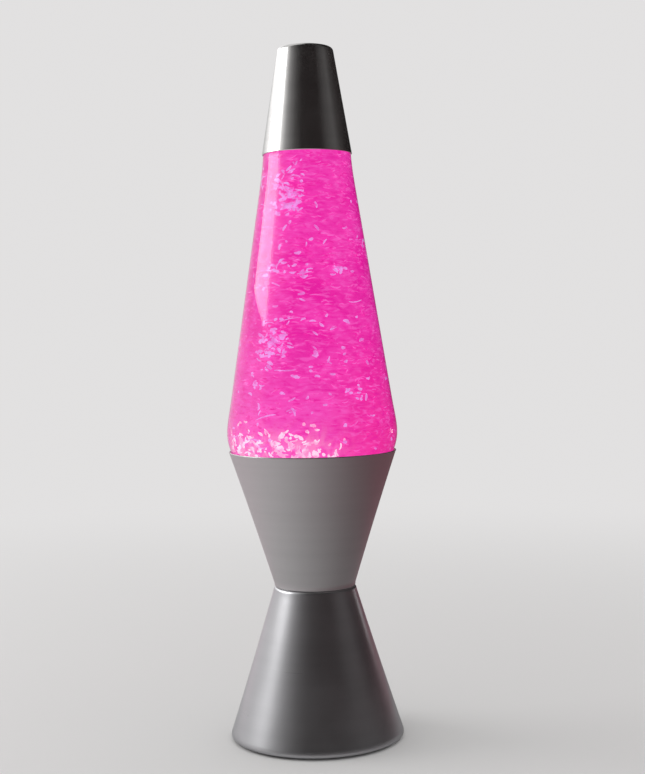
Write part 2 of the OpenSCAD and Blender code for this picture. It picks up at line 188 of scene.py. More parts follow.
def globe_side():
    """Outside of the glass from the nesting taper to the neck."""
    taper = [(cup_r(z) - METAL_T - SEAT_GAP, z) for z in heights(GLOBE_Z + GLOBE_CORNER, CUP_RIM_Z, 12)]
    slope = (SHOULDER_HIGH[0] - GLASS_BEND[0]) / (GLASS_BEND[1] - SHOULDER_HIGH[1])
    pull = (SHOULDER_HIGH[0] + slope * (SHOULDER_HIGH[1] - SHOULDER_PULL_HIGH_Z), SHOULDER_PULL_HIGH_Z)
    cone = line(SHOULDER_HIGH, GLASS_BEND, 24)
    lip = (GLASS_TOP_R, CAP_Z - 0.9)
    ledge = (LEDGE_R, CAP_Z + 1)
    return (
        taper
        + long_curve(taper[-1], SHOULDER_PULL_LOW, pull, SHOULDER_HIGH, 36)[1:]
        + cone[1:]
        + curve(GLASS_BEND, (GLASS_BEND[0] - slope * 7, GLASS_BEND[1] + 7), lip, 12)[1:]
        + curve(lip, (GLASS_TOP_R, CAP_Z - 0.3), ledge, 6)[1:]
        + curve(ledge, NECK_START_PULL, NECK_START, 12)[1:]
        + curve(NECK_START, (NECK[0], NECK_PULL_Z), NECK, 10)[1:]
    )


SIDE = globe_side()
BORE = [p for p in inset(SIDE, GLASS_T) if p[1] < CAP_Z - 1 or p[1] > CAP_Z + 2]


def radius_at(outline, z):
    for (r0, z0), (r1, z1) in zip(outline, outline[1:]):
        if z0 <= z <= z1 and z1 > z0:
            return mix(r0, r1, (z - z0) / (z1 - z0))
    return outline[0][0] if z < outline[0][1] else outline[-1][0]


# ---------- Mesh helpers ----------


def new_piece(name, vertices, faces, material, body, stands_for=(), smooth=True, sharp_angle=30):
    """Puts a mesh on one of the bodies. It may stand for some of the CAD model's nodes."""
    mesh = bpy.data.meshes.new(name)
    mesh.from_pydata([Vector(v) * MM for v in vertices], [], faces)
    mesh.validate()
    mesh.update()
    if smooth:
        mesh.shade_smooth()
        mesh.set_sharp_from_angle(angle=math.radians(sharp_angle))
    mesh.materials.append(material)
    piece = bpy.data.objects.new(name, mesh)
    bpy.context.scene.collection.objects.link(piece)
    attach(piece, body)
    if stands_for:
        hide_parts(*stands_for)
    return piece


ON_AXIS = 1e-6


def lathe(outline, segments=256):
    """Closed skin of revolution. The outline runs once round the section, and may touch the axis.

    It goes up the outside and down the inside, so that the faces point out of the metal or glass.
    """
    vertices, faces, rows = [], [], []
    for r, z in outline:
        if r < ON_AXIS:
            rows.append([len(vertices)])
            vertices.append((0.0, 0.0, z))
        else:
            rows.append([len(vertices) + i for i in range(segments)])
            for i in range(segments):
                a = 2 * math.pi * i / segments
                vertices.append((r * math.cos(a), r * math.sin(a), z))
    for low, high in zip(rows, rows[1:] + rows[:1]):
        if len(low) == 1 and len(high) == 1:
            continue
        for i in range(segments):
            j = (i + 1) % segments
            if len(low) == 1:
                faces.append((low[0], high[j], high[i]))
            elif len(high) == 1:
                faces.append((low[i], low[j], high[0]))
            else:
                faces.append((low[i], low[j], high[j], high[i]))
    return vertices, faces


def spin(name, outline, material, body, stands_for=(), segments=256, sharp_angle=30):
    vertices, faces = lathe(outline, segments)
    return new_piece(name, vertices, faces, material, body, stands_for, sharp_angle=sharp_angle)


# ---------- Material helpers ----------


class Nodes:
    """A material's node tree, with one short call for each kind of node that the looks use."""

    def __init__(self, name):
        self.material = bpy.data.materials.new(name)
        self.material.use_nodes = True
        self.tree = self.material.node_tree
        self.tree.nodes.clear()
        self.out = self.add("ShaderNodeOutputMaterial")
        self.shader = self.add("ShaderNodeBsdfPrincipled")
        self.link(self.shader.outputs[0], self.out.inputs["Surface"])
        self.place = self.add("ShaderNodeTexCoord").outputs["Object"]

    def add(self, kind, **settings):
        node = self.tree.nodes.new(kind)
        for key, value in settings.items():
            setattr(node, key, value)
        return node

    def link(self, source, target):
        self.tree.links.new(source, target)

    def set(self, **values):
        """Sets or links the shader's inputs. A name's underscores stand for spaces."""
        for key, value in values.items():
            socket = self.shader.inputs[key.replace("_", " ")]
            if isinstance(value, bpy.types.NodeSocket):
                self.link(value, socket)
            else:
                socket.default_value = value

    def scaled(self, x, y, z):
        node = self.add("ShaderNodeMapping")
        node.inputs["Scale"].default_value = (x, y, z)
        self.link(self.place, node.inputs["Vector"])
        return node.outputs[0]

    def noise(self, vector, scale, detail=3.0, roughness=0.5, distortion=0.0):
        node = self.add("ShaderNodeTexNoise")
        node.inputs["Scale"].default_value = scale
        node.inputs["Detail"].default_value = detail
        node.inputs["Roughness"].default_value = roughness
        node.inputs["Distortion"].default_value = distortion
        self.link(vector, node.inputs["Vector"])
        return node.outputs["Fac"]

    def ramp(self, source, low, high, out_low=0.0, out_high=1.0, smooth=True):
        node = self.add("ShaderNodeMapRange", interpolation_type="SMOOTHSTEP" if smooth else "LINEAR")
        node.inputs["From Min"].default_value = low
        node.inputs["From Max"].default_value = high
        node.inputs["To Min"].default_value = out_low
        node.inputs["To Max"].default_value = out_high
        self.link(source, node.inputs["Value"])
        return node.outputs["Result"]

    def maths(self, operation, a, b=None):
        node = self.add("ShaderNodeMath", operation=operation)
        for socket, value in zip(node.inputs, (a, b)):
            if isinstance(value, bpy.types.NodeSocket):
                self.link(value, socket)
            elif value is not None:
                socket.default_value = value
        return node.outputs[0]

    def blend(self, factor, a, b, mode="MIX"):
        node = self.add("ShaderNodeMix", data_type="RGBA", blend_type=mode)
        sockets = [s for s in node.inputs if s.enabled]
        for socket, value in zip(sockets, (factor, a, b)):
            if isinstance(value, bpy.types.NodeSocket):
                self.link(value, socket)
            elif isinstance(value, (int, float)):
                socket.default_value = value
            else:
                socket.default_value = (*value, 1.0)
        return [s for s in node.outputs if s.enabled][0]

    def bump(self, height, strength, distance_mm):
        node = self.add("ShaderNodeBump")
        node.inputs["Strength"].default_value = strength
        node.inputs["Distance"].default_value = distance_mm * MM
        self.link(height, node.inputs["Height"])
        return node.outputs[0]

    def axes(self):
        node = self.add("ShaderNodeSeparateXYZ")
        self.link(self.place, node.inputs[0])
        return node.outputs


GROOVE_DEPTH_MM = 0.012


def spun_metal(name, colour, roughness, anisotropy, groove_mm=0.35, smudge=0.06, groove_pull=0.35):
    """Metal turned on a lathe: rings of fine grooves, faint wide bands, and a little handling haze."""
    n = Nodes(name)
    rings = n.scaled(2.0, 2.0, 1 / (groove_mm * MM))
    grooves = n.noise(rings, 1.0, detail=4.0, roughness=0.7)
    bands = n.noise(n.scaled(1.0, 1.0, 140.0), 1.0, detail=2.0)
    haze = n.noise(n.place, 26.0, detail=5.0, roughness=0.62)
    tone = n.maths("ADD", n.maths("MULTIPLY", grooves, 0.35), n.maths("MULTIPLY", bands, 0.65))
    dark = tuple(c * (1 - smudge * 2) for c in colour)
    light = tuple(min(c * (1 + smudge), 1.0) for c in colour)
    tint = n.blend(n.ramp(tone, 0.3, 0.7), dark, light)
    dulled = n.ramp(haze, 0.35, 0.75, -0.02, 0.05)
    gloss = n.maths("ADD", dulled, n.ramp(grooves, 0.3, 0.7, roughness - 0.02, roughness + 0.02))
    tangent = n.add("ShaderNodeTangent", direction_type="RADIAL", axis="Z")
    n.set(Base_Color=tint, Metallic=1.0, Roughness=gloss, Anisotropic=anisotropy, Anisotropic_Rotation=0.25)
    n.set(Normal=n.bump(grooves, groove_pull, GROOVE_DEPTH_MM), Tangent=tangent.outputs[0])
    return n.material


def plain_metal(name, colour, roughness):
    """Stamped or turned small metal parts: fine grain, dull patches."""
    n = Nodes(name)
    fine = n.noise(n.place, 900.0, detail=3.0)
    patch = n.noise(n.place, 160.0, detail=4.0, roughness=0.6)
    dull = tuple(c * 0.78 for c in colour)
    n.set(Base_Color=n.blend(n.ramp(patch, 0.35, 0.7), dull, colour), Metallic=1.0)
    n.set(Roughness=n.ramp(patch, 0.3, 0.7, roughness + 0.08, roughness - 0.04))
    n.set(Normal=n.bump(fine, 0.2, 0.02))
    return n.material


def moulded(name, colour, roughness, grain_mm, depth_mm, coat=0.0):
    """Moulded plastic, rubber or porcelain with a fine surface grain."""
    n = Nodes(name)
    grain = n.noise(n.place, 1 / (grain_mm * MM), detail=2.0)
    patch = n.noise(n.place, 90.0, detail=4.0)
    light = tuple(min(c * 1.25 + 0.004, 1.0) for c in colour)
    n.set(Base_Color=n.blend(n.ramp(patch, 0.3, 0.75), colour, light))
    n.set(Roughness=n.ramp(patch, 0.3, 0.7, roughness, roughness + 0.1), Coat_Weight=coat)
    n.set(Normal=n.bump(grain, 0.3, depth_mm))
    return n.material


def clear_glass(name, colour, ior):
    """Clear glass whose surface is very slightly wavy."""
    n = Nodes(name)
    wave = n.noise(n.scaled(1.0, 1.0, 0.5), 35.0, detail=2.0)
    n.set(Base_Color=(*colour, 1.0), Roughness=0.0, IOR=ior, Transmission_Weight=1.0)
    n.set(Normal=n.bump(wave, 0.03, 0.02))
    return n.material


# Colours of the liquid and its foil, which glow with painted light that stands in for the bulb's, and the
# share of outside light that they give back
PINK_DEEP = (0.76, 0.018, 0.36)
PINK_MAIN = (0.84, 0.050, 0.44)
PINK_LIGHT = (0.88, 0.125, 0.56)
PINK_WARM = (0.90, 0.030, 0.31)
# Foil settled at the bed, painted pale with the bulb's light
BED_GLOW_PINK = (0.93, 0.34, 0.58)
LILAC_DARK = (0.80, 0.19, 0.64)
LILAC = (0.84, 0.36, 0.84)
FOIL_PINK_DARK = (0.78, 0.020, 0.36)
FOIL_PINK = (0.90, 0.14, 0.58)
# Settled foil at the bed, painted pale with the bulb's light from below
BED_FOIL_GLOW_DARK = (0.96, 0.38, 0.66)
BED_FOIL_GLOW = (1.0, 0.76, 0.90)
GIVEN_BACK = 0.30
# Strength of the liquid's painted glow, which stands in for the bulb's light
LIQUID_GLOW = 1.08


def given_back(colour):
    """The same colour for light from outside, most of which the liquid keeps."""
    return tuple(c * GIVEN_BACK for c in colour)


def deep_liquid_material():
    """The body of the liquid behind the nearest flakes: soft drifts of half-lost flakes, glowing with painted
    light that stands in for the bulb's.
    """
    n = Nodes("deep_liquid")
    axes = n.axes()

    # Broad clouds, and towards the bed a painted glow of the bulb below, paler there on the left and warmer
    # on the right
    clouds = n.noise(n.scaled(1.0, 1.0, 1.5), 38.0, detail=4.0, roughness=0.55, distortion=0.8)
    body = n.blend(n.ramp(clouds, 0.36, 0.60), PINK_DEEP, PINK_MAIN)
    bulb_glow_near_bed = n.ramp(axes["Z"], (CUP_RIM_Z + 76) * MM, (CUP_RIM_Z + 8) * MM, 0.0, 0.5)
    body = n.blend(bulb_glow_near_bed, body, n.blend(n.ramp(axes["X"], -0.002, 0.034), PINK_LIGHT, PINK_WARM))

    # Flakes too deep to be seen one by one
    mottle = n.noise(n.scaled(1.0, 1.0, 3.0), 190.0, detail=3.0, roughness=0.55, distortion=0.6)
    body = n.blend(n.ramp(mottle, 0.50, 0.68, 0.0, 0.65), body, PINK_LIGHT)
    body = n.blend(n.ramp(mottle, 0.48, 0.32, 0.0, 0.65), body, PINK_DEEP)

    # Thin wavy lines, in patches
    wave = n.noise(n.scaled(1.0, 1.0, 4.0), 70.0, detail=3.0, roughness=0.5, distortion=1.4)
    patch = n.noise(n.scaled(1.0, 1.0, 1.4), 48.0, detail=2.0)
    lit = n.ramp(n.maths("ABSOLUTE", n.maths("SUBTRACT", wave, 0.5)), 0.034, 0.0)
    body = n.blend(n.maths("MULTIPLY", lit, n.ramp(patch, 0.48, 0.66, 0.0, 0.5)), body, PINK_LIGHT)

    # Foil that has settled behind the cup's rim, mostly on the left, painted pale with the bulb's light from
    # below
    low = n.ramp(axes["Z"], (CUP_RIM_Z + 22) * MM, (CUP_RIM_Z - 2) * MM)
    left = n.ramp(axes["X"], 0.026, -0.006)
    bed = n.noise(n.scaled(1.6, 1.6, 1.0), 120.0, detail=3.0, distortion=0.8)
    settled_foil_glow = n.maths("MULTIPLY", n.maths("MULTIPLY", low, left), n.ramp(bed, 0.40, 0.66, 0.0, 0.85))
    body = n.blend(settled_foil_glow, body, BED_GLOW_PINK)

    outside = n.blend(1.0, body, (GIVEN_BACK, GIVEN_BACK, GIVEN_BACK), mode="MULTIPLY")
    n.set(Base_Color=outside, Roughness=0.6, Specular_IOR_Level=0.0)
    # Painted light: the body glows as if lit by the bulb
    n.set(Emission_Color=body, Emission_Strength=LIQUID_GLOW)
    return n.material


def flake_material(name, dark, light, glow):
    """Foil whose tone changes from flake to flake, glowing with painted light in place of the bulb's light in
    the liquid round it.
    """
    n = Nodes(name)
    tone = n.ramp(n.noise(n.place, 260.0, detail=2.0), 0.36, 0.62)
    n.set(Base_Color=n.blend(tone, given_back(dark), given_back(light)), Metallic=0.1, Roughness=0.3)
    # Painted light: the foil glows as if lit by the bulb through the liquid
    n.set(Emission_Color=n.blend(tone, dark, light), Emission_Strength=glow)
    return n.material


def liquid_skin_material():
    """Bends light as water does. It mirrors nothing head on, because glass covers it."""
    n = Nodes("pink_liquid")
    wave = n.noise(n.place, 30.0, detail=1.0)
    n.set(Base_Color=(1.0, 0.80, 0.93, 1.0), Roughness=0.0, IOR=1.36, Transmission_Weight=1.0)
    n.set(Specular_Tint=(0.0, 0.0, 0.0, 1.0))
    n.set(Normal=n.bump(wave, 0.02, 0.02))
    return n.material


FINE_TURNING = {"groove_mm": 0.5, "smudge": 0.02, "groove_pull": 0.12}

MAT = {
    "cap": spun_metal("cap_metal", (0.82, 0.81, 0.80), 0.18, 0.5),
    "cup": spun_metal("cup_metal", (0.62, 0.61, 0.61), 0.37, 0.3, **FINE_TURNING),
    "skirt": spun_metal("skirt_metal", (0.74, 0.74, 0.76), 0.31, 0.2, **FINE_TURNING),
    "glass": clear_glass("globe_glass", (1.0, 0.97, 0.985), 1.5),
    "bulb_glass": clear_glass("bulb_glass", (0.99, 0.99, 0.99), 1.48),
    "liquid": liquid_skin_material(),
    "deep": deep_liquid_material(),
    "foil_lilac": flake_material("foil_lilac", LILAC_DARK, LILAC, 1.0),
    "foil_pink": flake_material("foil_pink", FOIL_PINK_DARK, FOIL_PINK, 1.05),
    "foil_bulb_glow": flake_material("foil_bulb_glow", BED_FOIL_GLOW_DARK, BED_FOIL_GLOW, 1.05),
    "tinplate": plain_metal("tinplate", (0.72, 0.71, 0.69), 0.28),
    "zinc": plain_metal("zinc_steel", (0.66, 0.67, 0.70), 0.34),
    "brass": plain_metal("socket_brass", (0.80, 0.58, 0.27), 0.30),
    "bulb_shell": plain_metal("bulb_shell", (0.83, 0.76, 0.60), 0.24),
    "solder": plain_metal("solder", (0.60, 0.61, 0.63), 0.36),
    "wire": plain_metal("wire", (0.34, 0.34, 0.36), 0.38),
    "screw": plain_metal("screw_steel", (0.60, 0.61, 0.63), 0.30),
    "liner": moulded("liner", (0.72, 0.71, 0.68), 0.45, 0.4, 0.01),
    "porcelain": moulded("porcelain", (0.78, 0.75, 0.68), 0.12, 1.6, 0.02, coat=0.5),
    "black_glass": moulded("black_glass", (0.012, 0.012, 0.016), 0.08, 1.0, 0.01),
    "rubber": moulded("black_rubber", (0.018, 0.018, 0.018), 0.62, 0.25, 0.03),
    "plastic": moulded("black_plastic", (0.02, 0.02, 0.022), 0.42, 0.5, 0.03),
}

# ---------- Pieces ----------


def make_cap():
    """Thin cone with a rounded top edge, open below."""
    slope = (CAP_LOW_R - CAP_TOP_R) / (LAMP_H - CAP_Z)
    lean = math.degrees(math.atan(slope))
    centre = (CAP_TOP_R - CAP_EDGE_R + 0.2, LAMP_H - CAP_EDGE_R)
    top = arc(centre, CAP_EDGE_R, lean, 90, 14)
    hem_z = CAP_Z + CAP_HEM
    wall = line((CAP_LOW_R, hem_z), top[0], 30)
    inner_top = arc(centre, CAP_EDGE_R - CAP_T, 90, lean, 8)
    outline = wall + top[1:] + [(0.0, LAMP_H), (0.0, LAMP_H - CAP_T)] + inner_top
    outline += [(CAP_LOW_R - CAP_T, hem_z), (CAP_LOW_R - CAP_T * 0.6, CAP_Z), (CAP_LOW_R - 0.2, CAP_Z)]
    return spin("cap_shell", outline, MAT["cap"], "cap", ["cap"])


def make_cup():
    """Cone with a rolled lip. Its collar goes down through the waist and is curled under the ring."""
    lip_r = METAL_T / 2
    lip = arc((CUP_RIM_R - lip_r, CUP_RIM_Z - lip_r), lip_r, 0, 180, 10)
    fold = arc((CUP_WAIST_R - CUP_FOLD_R, WAIST_Z + CUP_FOLD_R), CUP_FOLD_R, -90, 0, 8)
    wall = [(cup_r(z), z) for z in heights(CUP_START_Z, CUP_RIM_Z - 0.6, 40)]
    inside = [(cup_r(z) - METAL_T, z) for z in heights(CUP_RIM_Z - 1, CUP_START_Z, 40)]
    ring_z = WAIST_Z - METAL_T - RING_T
    curl_z = ring_z - METAL_T
    collar_high_z = WAIST_Z + METAL_T
    outline = fold + wall + lip + inside
    outline += [(CUP_WAIST_R - METAL_T - 0.2, collar_high_z), (COLLAR_IN_R + COLLAR_EDGE, collar_high_z)]
    outline += [(COLLAR_IN_R, WAIST_Z + 0.5), (COLLAR_IN_R, curl_z + COLLAR_EDGE)]
    outline += [(COLLAR_IN_R + COLLAR_EDGE, curl_z), (CURL_OUT_R, curl_z), (CURL_OUT_R, ring_z)]
    outline += [(COLLAR_IN_R + METAL_T, ring_z), (COLLAR_IN_R + METAL_T, WAIST_Z)]
    return spin("cup_shell", outline, MAT["cup"], "base", ["base_cup"])


def make_skirt():
    """Cone with a rounded upper edge. Its foot turns in to a flange for the bottom plate.

    The outline is written down the outside and up the inside, so it is turned round at the end.
    """
    centre = (SKIRT_HIGH_R - SKIRT_EDGE_R, SKIRT_HIGH_Z)
    lean = 12
    wall_high_z = SKIRT_HIGH_Z - 0.9
    walls = [(skirt_r(z), z) for z in heights(wall_high_z, SKIRT_LOW_Z, 44)]
    inner = [(skirt_r(z) - METAL_T, z) for z in heights(SKIRT_INSIDE_LOW_Z, wall_high_z, 30)]
    seat_r = COLLAR_IN_R + METAL_T + 0.1
    flange_high_z = FLANGE_Z + METAL_T
    outline = [(seat_r, WAIST_Z)] + arc(centre, SKIRT_EDGE_R, 90, lean, 10) + walls
    outline += arc((SKIRT_FOOT_R - HEM_EDGE_R, HEM_Z + HEM_EDGE_R), HEM_EDGE_R, 0, -90, 8)
    outline += [(HEM_IN_R, HEM_Z), (HEM_IN_R, FLANGE_Z), (FLANGE_IN_R, FLANGE_Z)]
    bend_r = skirt_r(FLANGE_BEND_Z) - METAL_T - FLANGE_BEND_R
    outline += [(FLANGE_IN_R, flange_high_z), (bend_r, flange_high_z)]
    outline += inner + arc(centre, SKIRT_EDGE_R - METAL_T, lean, 90, 6)
    outline += [(seat_r, WAIST_Z - METAL_T)]
    return spin("skirt_shell", outline[::-1], MAT["skirt"], "base", ["base_skirt"])


def make_bottle():
    """Glass globe: nesting taper, shoulder, cone, ledge for the cap, neck and crown finish."""
    foot = SIDE[0]
    outside = [(0.0, GLOBE_Z + 1.5), (12.0, GLOBE_Z + 1.3), (18.0, GLOBE_Z + 0.8), (22.0, GLOBE_Z)]
    outside += curve((foot[0] - GLOBE_CORNER, GLOBE_Z), (foot[0] - 0.9, GLOBE_Z), foot, 8)[:-1] + SIDE
    ring_r = FINISH_R - 0.2
    waist_r = NECK[0] - 0.3
    edge_z = MOUTH_Z - FINISH_EDGE_R
    finish = [(NECK[0], TRANSFER_LOW_Z - 0.4), (ring_r, TRANSFER_LOW_Z + 0.6), (ring_r, TRANSFER_HIGH_Z)]
    finish += [(waist_r, TRANSFER_HIGH_Z + 1), (waist_r, FINISH_Z), (FINISH_R, FINISH_Z + 1)]
    finish += [(FINISH_R, edge_z)] + arc((FINISH_R - FINISH_EDGE_R, edge_z), FINISH_EDGE_R, 0, 90, 8)[1:]
    mouth = [(MOUTH_R + 0.6, MOUTH_Z), (MOUTH_R, MOUTH_Z - 0.8), (MOUTH_R, TRANSFER_HIGH_Z)]
    corner_z = GLASS_FLOOR_Z + FLOOR_EDGE
    bore = [p for p in reversed(BORE) if p[1] > corner_z]
    low_r = bore[-1][0]
    floor_edge = (FLOOR_FLAT_R, GLASS_FLOOR_Z)
    bottom = curve((low_r - 0.2, corner_z), (low_r - 1.0, GLASS_FLOOR_Z), floor_edge, 6)
    outline = outside + finish + mouth + bore + bottom + [(0.0, GLASS_FLOOR_Z + FLOOR_RISE)]
    return spin("bottle", outline, MAT["glass"], "globe", ["glass_bottle"], sharp_angle=50)


def liquid_outline(offset, low_z, high_z):
    """Section of the liquid: the bore moved inwards by offset, closed with a floor and a level."""
    side = [(r - offset, z) for r, z in BORE if low_z + FLOOR_EDGE < z < high_z - 0.5]
    foot = side[0]
    floor = curve((foot[0] - 6, low_z), (foot[0] - 0.8, low_z), foot, 6)
    last = (radius_at(BORE, high_z) - offset - 0.4, high_z)
    return [(0.0, low_z + 0.3)] + floor[:-1] + side + [last, (0.0, high_z)]


SKIN_OVERLAP = 0.06
CORE_DEPTH = 3.4


def make_liquid():
    """Clear skin that wets the glass, and inside it the glowing core that the flakes float round."""
    skin = liquid_outline(-SKIN_OVERLAP, GLASS_FLOOR_Z + 0.1, LIQUID_Z)
    spin("liquid", skin, MAT["liquid"], "globe", ["pink_liquid"], sharp_angle=50)
    core = liquid_outline(CORE_DEPTH, GLASS_FLOOR_Z + 5, LIQUID_Z - 4)
    spin("deep_liquid", core, MAT["deep"], "globe", sharp_angle=50)


LEAF_STEPS = 5
LEAF_HALF_T = 0.05
LEAF_BLUNT = 0.16
LEAF_CUP = 0.2


def leaf(rng, length, width):
    """One thin closed flake round the origin: a bent leaf with blunt ends and an uneven edge."""
    bend = rng.uniform(-0.16, 0.16) * length
    lift = rng.uniform(-0.15, 0.15) * length
    top, bottom = [], []
    for i in range(LEAF_STEPS + 1):
        t = i / LEAF_STEPS
        half = width * math.sin(math.pi * mix(LEAF_BLUNT, 1 - LEAF_BLUNT, t)) * rng.uniform(0.7, 1.1) / 2
        bow = 1 - (2 * t - 1) ** 2
        for side in (-1, 1):
            spot = Vector((length * (t - 0.5), lift * bow + side * half * LEAF_CUP, bend * bow + side * half))
            top.append(spot - Vector((0, LEAF_HALF_T, 0)))
            bottom.append(spot + Vector((0, LEAF_HALF_T, 0)))
    count = len(top)
    last = count - 2
    faces = [(0, 1, count + 1, count), (last, count + last, count + last + 1, last + 1)]
    for a in range(0, last, 2):
        faces.append((a, a + 2, a + 3, a + 1))
        faces.append((count + a, count + a + 1, count + a + 3, count + a + 2))
        faces.append((a, count + a, count + a + 2, a + 2))
        faces.append((a + 1, a + 3, count + a + 3, count + a + 1))
    return top + bottom, faces


# Drifts of foil: (share of the flakes, turn in degrees from the front towards the right, height, spread
# of the turn, spread of the height). The first two are the large clumps at the front.
FRONT_DRIFTS = [
    (10, -24, 288, 11, 6), (9, -33, 213, 8, 5.5), (1.2, -10, 261, 14, 2), (2, -20, 249, 13, 3),
    (0.7, 32, 250, 2.5, 1.4), (0.4, 4, 206, 2, 1), (1.2, -46, 191, 7, 3), (1.2, 31, 204, 12, 5),
    (1, -6, 197, 14, 2), (0.7, 36, 186, 7, 2), (1.2, 6, 224, 20, 3), (1, -26, 176, 16, 3),
]
SIDE_AND_REAR_DRIFTS = [
    (6, 150, 285, 20, 8), (5, 176, 225, 18, 8), (4, -130, 250, 16, 8), (3, 95, 262, 14, 5),
    (4, 112, 205, 16, 6), (4, -160, 192, 18, 5), (3, -98, 214, 12, 6), (2, -100, 290, 12, 5),
]
DRIFTS = FRONT_DRIFTS + SIDE_AND_REAR_DRIFTS


def gather(rng, drifts, low_z, high_z, stray):
    """A place for one flake: in one of the drifts, or anywhere when it is a stray."""
    while True:
        if rng.random() < stray:
            return rng.uniform(-180, 180), rng.uniform(low_z, high_z)
        _, turn, height, wide, tall = rng.choices(drifts, weights=[d[0] for d in drifts])[0]
        z = rng.gauss(height, tall)
        if low_z < z < high_z:
            return rng.gauss(turn, wide), z


def scatter(name, key, count, seed, depth, length, width, drifts, levels, stray, tilt, stands_for=()):
    """Flakes at a range of depths under the bore, each with a random length, width, turn and tilt."""
    rng = random.Random(seed)
    vertices, faces = [], []
    for _ in range(count):
        turn, z = gather(rng, drifts, *levels, stray)
        a = math.radians(turn - 90)
        r = radius_at(BORE, z) - rng.uniform(*depth)
        body, skin = leaf(rng, rng.uniform(*length), rng.uniform(*width))
        face_out = Matrix.Rotation(a + math.pi / 2 + rng.gauss(0, 0.25), 3, "Z")
        lean = Matrix.Rotation(rng.gauss(0, tilt), 3, "Y")
        start = len(vertices)
        spot = Vector((r * math.cos(a), r * math.sin(a), z))
        vertices += [spot + face_out @ (lean @ v) for v in body]
        faces += [tuple(start + i for i in f) for f in skin]
    return new_piece(name, vertices, faces, MAT[key], "globe", stands_for, smooth=False)


def make_flakes():
    """Fine streaks everywhere, lilac clumps, a few long streaks, and a bed at the cup's rim that is painted
    pale with the bulb's light.
    """
    low, high = CUP_RIM_Z - 4, LIQUID_Z - 8
    bed = [(3, -38, low + 9, 18, 5), (2, -60, low + 7, 10, 5), (4, -14, low + 8, 12, 5)]
    bed += [(1, 8, low + 5, 8, 3), (6, -150, low + 8, 34, 5)]
    scatter("glitter_pink", "foil_pink", 1700, 23, depth=(1.6, 3.0), length=(2.4, 6.5), width=(0.35, 0.95),
            drifts=DRIFTS, levels=(low, high), stray=0.7, tilt=0.2)
    scatter("glitter_lilac", "foil_lilac", 560, 11, depth=(0.9, 2.2), length=(1.4, 4.0), width=(0.9, 1.9),
            drifts=DRIFTS, levels=(low, high), stray=0.12, tilt=0.6, stands_for=["glitter_flakes"])
    scatter("glitter_streaks", "foil_lilac", 34, 5, depth=(1.0, 2.4), length=(5.0, 12.0), width=(0.5, 0.9),
            drifts=DRIFTS, levels=(low, high), stray=0.5, tilt=0.15)
    scatter("glitter_bed", "foil_bulb_glow", 290, 37, depth=(0.9, 2.8), length=(1.2, 3.8), width=(0.9, 2.0),
            drifts=bed, levels=(low - 8, low + 22), stray=0.0, tilt=0.9)


def make_bulb():
    """Envelope of the bulb: a ball on a throat that narrows to its base."""
    centre_z = BULB_TOP_Z - BULB_R
    side = curve((BULB_FOOT_R, BULB_FOOT_Z), (BULB_FOOT_R + 0.2, BULB_THROAT_PULL_Z), BULB_THROAT, 14)
    side += curve(BULB_THROAT, (BULB_R, BULB_SHOULDER_Z), (BULB_R, centre_z), 18)[1:]
    dome = arc((0.0, centre_z), BULB_R, 0, 90, 28)[1:-1] + [(0.0, BULB_TOP_Z)]
    inner_dome = [(0.0, BULB_TOP_Z - BULB_T)] + arc((0.0, centre_z), BULB_R - BULB_T, 90, 0, 28)[1:]
    outline = side + dome + inner_dome + inset(side, BULB_T)[::-1][1:]
    return spin("bulb_envelope", outline, MAT["bulb_glass"], "bulb", ["bulb_glass"],
                segments=128, sharp_angle=60)


NODE_MATERIALS = {
    "crown_cap": "tinplate",
    "crown_liner": "liner",
    "bulb_base_shell": "bulb_shell",
    "bulb_insulator": "black_glass",
    "bulb_tip_contact": "solder",
    "bulb_stem": "bulb_glass",
    "bulb_filament": "wire",
    "bulb_support_wires": "wire",
    "socket_bracket": "zinc",
    "socket_body": "porcelain",
    "socket_shell": "brass",
    "socket_contact": "brass",
    "terminal_screws": "brass",
    "mounting_nipple": "zinc",
    "nipple_nut": "zinc",
    "lock_washer": "zinc",
    "cord_grommet": "rubber",
    "bottom_plate": "plastic",
    "bottom_plate_screws": "screw",
    "rubber_feet": "rubber",
}


def dress_nodes():
    """Gives the CAD nodes that keep their own shape their materials."""
    for node, key in NODE_MATERIALS.items():
        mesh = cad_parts[node].data
        mesh.materials.clear()
        mesh.materials.append(MAT[key])


# ---------- Stage, light and camera ----------

BACKDROP = (0.76, 0.75, 0.75)
PAPER = (0.80, 0.79, 0.785, 1.0)
FLOOR_HALF = 8.0

# Distances from the lamp, in metres, between which the paper fades into the backdrop
FADE_REACH = (0.12, 1.0)
# Tones of the floor that metal mirrors, from the left to the right of the lamp, and where they change. They
# are painted shade, darker on the right in place of the lamp's shadow, with a painted pink glow from the lit
# globe farther out
NEAR_PAINTED_TONES = ((0.63, 0.628, 0.63), (0.128, 0.116, 0.119))
FAR_PAINTED_TONES = ((0.69, 0.625, 0.65), (0.22, 0.095, 0.118))
TONES_X = (-0.22, 0.26)
TONES_REACH = (0.19, 0.32)


